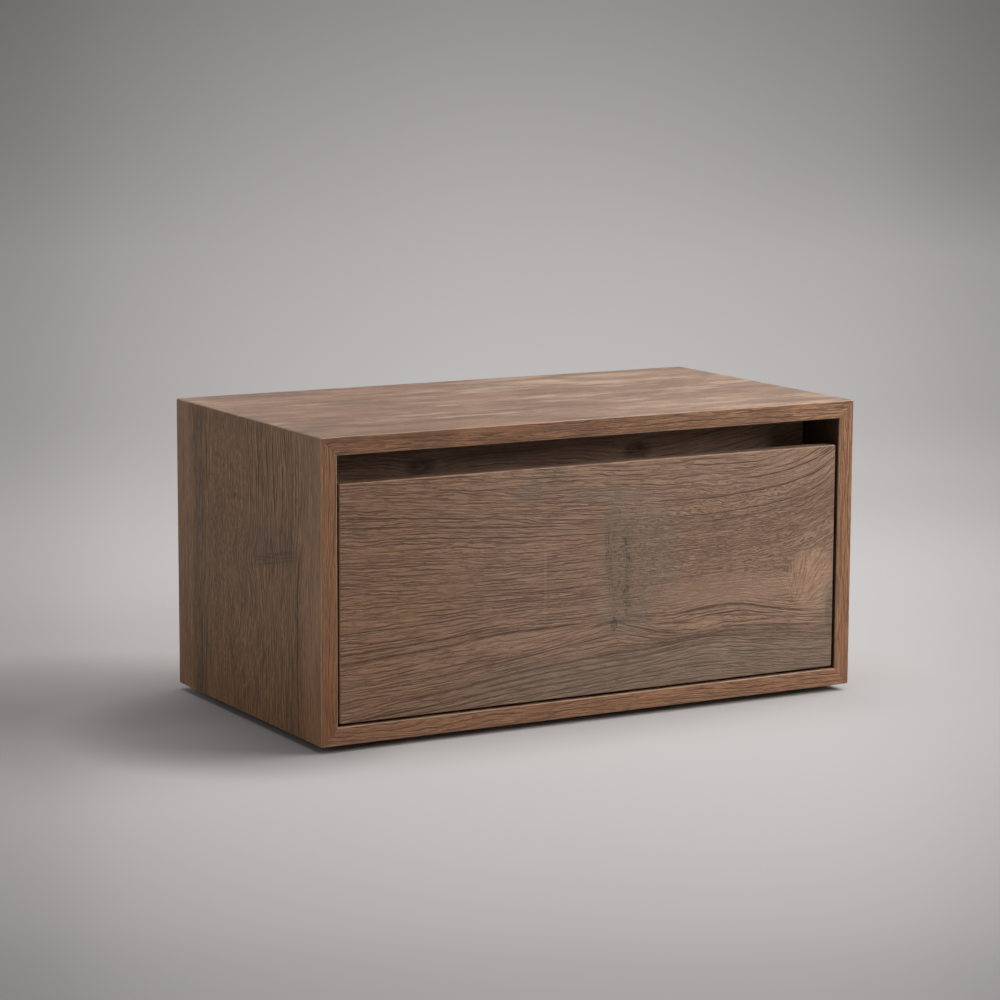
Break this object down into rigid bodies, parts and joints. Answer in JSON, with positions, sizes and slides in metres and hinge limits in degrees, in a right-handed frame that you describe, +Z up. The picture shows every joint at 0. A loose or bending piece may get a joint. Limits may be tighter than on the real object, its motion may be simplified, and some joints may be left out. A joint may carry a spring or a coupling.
{
  "type": "floating nightstand",
  "caption": "Low wooden nightstand with mitred corners and a flush drawer, opened by a finger gap and run on telescopic slides.",
  "frame": {"origin": "middle of the bounding box in plan, on the floor plane under the glides", "axes": "+X to the right seen from the front, +Y to the wall, +Z up"},
  "size_m": [0.55, 0.3, 0.274],
  "materials": {
    "oak_top": "stained oak, matt oil, grain along the width",
    "oak_side": "stained oak, matt oil, grain upright",
    "oak_front": "stained oak, matt oil, grain along the width",
    "oak_rail": "stained oak, matt oil, grain along the width",
    "birch_box": "solid birch, clear lacquer",
    "birch_ply": "birch plywood, clear lacquer",
    "beech": "beech, planed and bare",
    "zinc_sheet": "bright zinc plate",
    "cage_steel": "zinc plate, light grease",
    "zinc_screw": "zinc plate",
    "black_plastic": "moulded, fine grain",
    "glide_plastic": "moulded, smooth underside"
  },
  "bodies": {
    "cabinet": {"top_panel": "oak_top", "bottom_panel": "oak_top", "left_side": "oak_side", "right_side": "oak_side", "mitre_spline_top_left": "beech", "mitre_spline_top_right": "beech", "mitre_spline_bottom_left": "beech", "mitre_spline_bottom_right": "beech", "back_panel": "birch_ply", "recess_rail": "oak_rail", "rail_dowel_left_upper": "beech", "rail_dowel_left_lower": "beech", "rail_dowel_right_upper": "beech", "rail_dowel_right_lower": "beech", "cabinet_cleat": "beech", "wall_cleat": "beech", "cleat_screw_left": "zinc_screw", "cleat_screw_middle": "zinc_screw", "cleat_screw_right": "zinc_screw", "glide_front_left": "glide_plastic", "glide_front_right": "glide_plastic", "glide_back_left": "glide_plastic", "glide_back_right": "glide_plastic", "left_cabinet_member": "zinc_sheet", "left_rear_bumper": "black_plastic", "left_cabinet_screw_front": "zinc_screw", "left_cabinet_screw_rear": "zinc_screw", "right_cabinet_member": "zinc_sheet", "right_rear_bumper": "black_plastic", "right_cabinet_screw_front": "zinc_screw", "right_cabinet_screw_rear": "zinc_screw"},
    "drawer": {"drawer_front": "oak_front", "box_front": "birch_box", "box_back": "birch_box", "box_left": "birch_box", "box_right": "birch_box", "box_bottom": "birch_ply", "front_screw_upper_left": "zinc_screw", "front_screw_upper_right": "zinc_screw", "front_screw_lower_left": "zinc_screw", "front_screw_lower_right": "zinc_screw", "left_drawer_member": "zinc_sheet", "left_drawer_screw_front": "zinc_screw", "left_drawer_screw_rear": "zinc_screw", "right_drawer_member": "zinc_sheet", "right_drawer_screw_front": "zinc_screw", "right_drawer_screw_rear": "zinc_screw"},
    "left_intermediate": {"left_intermediate_member": "zinc_sheet"},
    "right_intermediate": {"right_intermediate_member": "zinc_sheet"},
    "left_outer_cage": {"left_outer_ball_cage": "cage_steel"},
    "right_outer_cage": {"right_outer_ball_cage": "cage_steel"},
    "left_inner_cage": {"left_inner_ball_cage": "cage_steel"},
    "right_inner_cage": {"right_inner_ball_cage": "cage_steel"},
    "left_lever": {"left_release_lever": "black_plastic"},
    "right_lever": {"right_release_lever": "black_plastic"}
  },
  "joints": [
    {"name": "drawer_slide", "type": "slide", "parent": "cabinet", "child": "drawer", "axis": [0, -1, 0], "range_m": [0, 0.25]},
    {"name": "left_intermediate_slide", "type": "slide", "parent": "cabinet", "child": "left_intermediate", "axis": [0, -1, 0], "range_m": [0, 0.125]},
    {"name": "right_intermediate_slide", "type": "slide", "parent": "cabinet", "child": "right_intermediate", "axis": [0, -1, 0], "range_m": [0, 0.125]},
    {"name": "left_outer_cage_slide", "type": "slide", "parent": "cabinet", "child": "left_outer_cage", "axis": [0, -1, 0], "range_m": [0, 0.0625]},
    {"name": "right_outer_cage_slide", "type": "slide", "parent": "cabinet", "child": "right_outer_cage", "axis": [0, -1, 0], "range_m": [0, 0.0625]},
    {"name": "left_inner_cage_slide", "type": "slide", "parent": "cabinet", "child": "left_inner_cage", "axis": [0, -1, 0], "range_m": [0, 0.1875]},
    {"name": "right_inner_cage_slide", "type": "slide", "parent": "cabinet", "child": "right_inner_cage", "axis": [0, -1, 0], "range_m": [0, 0.1875]},
    {"name": "left_lever_pivot", "type": "hinge", "parent": "drawer", "child": "left_lever", "pos_m": [-0.24921, 0.035, 0.11], "axis": [-1, 0, 0], "range_deg": [0, 8], "stiffness_Nm_per_rad": 0.02, "springref_deg": -5.73},
    {"name": "right_lever_pivot", "type": "hinge", "parent": "drawer", "child": "right_lever", "pos_m": [0.24921, 0.035, 0.11], "axis": [1, 0, 0], "range_deg": [0, 8], "stiffness_Nm_per_rad": 0.02, "springref_deg": -5.73}
  ],
  "couplings": [
    {"joint": "left_intermediate_slide", "follows": "drawer_slide", "ratio": 0.5},
    {"joint": "right_intermediate_slide", "follows": "drawer_slide", "ratio": 0.5},
    {"joint": "left_outer_cage_slide", "follows": "drawer_slide", "ratio": 0.25},
    {"joint": "right_outer_cage_slide", "follows": "drawer_slide", "ratio": 0.25},
    {"joint": "left_inner_cage_slide", "follows": "drawer_slide", "ratio": 0.75},
    {"joint": "right_inner_cage_slide", "follows": "drawer_slide", "ratio": 0.75}
  ]
}
